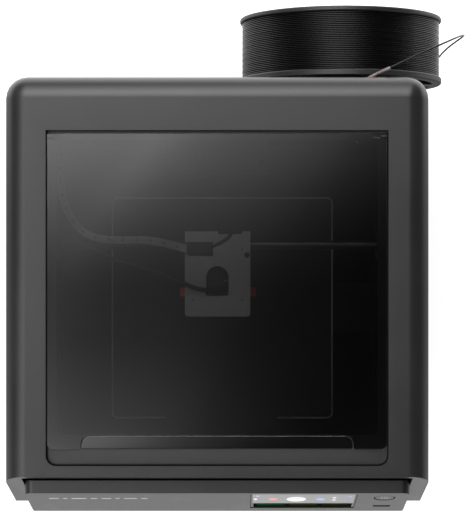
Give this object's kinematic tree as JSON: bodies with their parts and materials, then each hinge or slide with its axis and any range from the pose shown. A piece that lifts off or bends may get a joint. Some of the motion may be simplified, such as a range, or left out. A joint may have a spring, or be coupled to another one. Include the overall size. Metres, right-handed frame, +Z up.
{
  "type": "desktop filament printer",
  "caption": "Enclosed desktop filament printer: tinted roof lid, sloped control panel, front door, sliding toolhead, heated bed on lead screws, filament spool on the back.",
  "frame": {"origin": "on the table, under the middle of the outer box without the loose strand", "axes": "+Z up, -Y towards the front door and control panel, +X to the machine's right seen from the front"},
  "size_m": [0.4225, 0.4814, 0.453],
  "materials": {
    "shell": "moulded, fine texture",
    "panel": "satin",
    "tinted": "tinted, polished",
    "clear": "smoked, polished",
    "rubber": "matte",
    "sheet": "powder coated",
    "steel": "ground",
    "motor": "satin black",
    "black": "matte",
    "grey": "fine texture",
    "red": "satin",
    "alloy": "milled",
    "plate": "textured coating",
    "board": "circuit board",
    "screen": "polished",
    "filament": "glossy",
    "ptfe": "translucent white"
  },
  "bodies": {
    "chassis": {"top_cover": "shell", "side_cover_left": "shell", "side_cover_right": "shell", "rear_cover": "shell", "front_frame": "shell", "base_tray": "shell", "foot_front_left": "rubber", "foot_front_right": "rubber", "foot_rear_left": "rubber", "foot_rear_right": "rubber", "chamber_floor": "sheet", "chamber_rear_wall": "sheet", "filter_box": "black", "exhaust_fan_frame": "black", "power_supply": "alloy", "mainboard": "board", "control_panel": "panel", "display": "screen", "lid_hinge_pin_left": "steel", "lid_hinge_pin_right": "steel", "y_rod_left": "steel", "y_rod_right": "steel", "xy_motor_left": "motor", "xy_motor_right": "motor", "z_rod_left": "steel", "z_rod_right": "steel", "z_motor": "motor", "power_inlet": "black", "spool_holder": "shell", "filament_inlet": "ptfe", "filament_strand": "filament", "guide_tube_rear": "black", "drag_chain_rear": "black"},
    "lid": {"lid": "tinted"},
    "door": {"front_door": "shell", "door_window": "clear", "door_handle": "black"},
    "gantry": {"y_carriage_left": "grey", "y_carriage_right": "grey", "x_rod_upper": "steel", "x_rod_lower": "steel", "guide_tube_front": "black", "drag_chain_front": "black"},
    "head": {"head_carriage": "black", "head_cover": "grey", "extruder_motor": "motor", "hotend": "alloy"},
    "part_fan": {"part_fan_rotor": "black"},
    "lever_left": {"release_lever_left": "red"},
    "lever_right": {"release_lever_right": "red"},
    "bed": {"bed_carrier": "sheet", "heater_plate": "alloy", "build_plate": "plate"},
    "screw_left": {"z_screw_left": "steel"},
    "screw_right": {"z_screw_right": "steel"},
    "exhaust_fan": {"exhaust_fan_rotor": "black"},
    "switch": {"power_switch": "black"},
    "button": {"power_button": "panel"},
    "spool": {"spool": "black", "filament_winding": "filament"}
  },
  "joints": [
    {"name": "lid_hinge", "type": "hinge", "parent": "chassis", "child": "lid", "pos_m": [-0.01648, 0.10575, 0.4495], "axis": [-1, 0, 0], "range_deg": [0, 105]},
    {"name": "door_hinge", "type": "hinge", "parent": "chassis", "child": "door", "pos_m": [-0.18748, -0.23675, 0.19], "axis": [0, 0, -1], "range_deg": [0, 110]},
    {"name": "gantry_slide", "type": "slide", "parent": "chassis", "child": "gantry", "axis": [0, 1, 0], "range_m": [-0.128, 0.092], "deforming": ["drag_chain_rear", "guide_tube_rear"]},
    {"name": "head_slide", "type": "slide", "parent": "gantry", "child": "head", "axis": [1, 0, 0], "range_m": [-0.107, 0.113], "deforming": ["drag_chain_front", "guide_tube_front"]},
    {"name": "part_fan_spin", "type": "hinge", "parent": "head", "child": "part_fan", "pos_m": [-0.01648, -0.04925, 0.362], "axis": [0, 1, 0], "continuous": true},
    {"name": "left_release", "type": "slide", "parent": "head", "child": "lever_left", "axis": [1, 0, 0], "range_m": [0, 0.002], "stiffness_N_per_m": 300},
    {"name": "right_release", "type": "slide", "parent": "head", "child": "lever_right", "axis": [-1, 0, 0], "range_m": [0, 0.002], "stiffness_N_per_m": 300},
    {"name": "bed_slide", "type": "slide", "parent": "chassis", "child": "bed", "axis": [0, 0, 1], "range_m": [-0.155, 0.064]},
    {"name": "left_screw_spin", "type": "hinge", "parent": "chassis", "child": "screw_left", "pos_m": [-0.18147, -0.08225, 0.1], "axis": [0, 0, 1], "range_deg": [-2900, 7000]},
    {"name": "right_screw_spin", "type": "hinge", "parent": "chassis", "child": "screw_right", "pos_m": [0.14852, -0.08225, 0.1], "axis": [0, 0, 1], "range_deg": [-2900, 7000]},
    {"name": "exhaust_fan_spin", "type": "hinge", "parent": "chassis", "child": "exhaust_fan", "pos_m": [-0.01648, 0.12975, 0.276], "axis": [0, 1, 0], "continuous": true},
    {"name": "power_switch_rock", "type": "hinge", "parent": "chassis", "child": "switch", "pos_m": [-0.13148, 0.15925, 0.07], "axis": [1, 0, 0], "range_deg": [-12, 0]},
    {"name": "power_button_press", "type": "slide", "parent": "chassis", "child": "button", "axis": [0, 0.9385, -0.3454], "range_m": [0, 0.0012], "stiffness_N_per_m": 400},
    {"name": "spool_spin", "type": "hinge", "parent": "chassis", "child": "spool", "pos_m": [0.10547, 0.17125, 0.247], "axis": [0, 1, 0], "continuous": true}
  ],
  "couplings": [
    {"joint": "left_screw_spin", "follows": "bed_slide", "rad_per_m": -785.4},
    {"joint": "right_screw_spin", "follows": "bed_slide", "rad_per_m": -785.4}
  ]
}
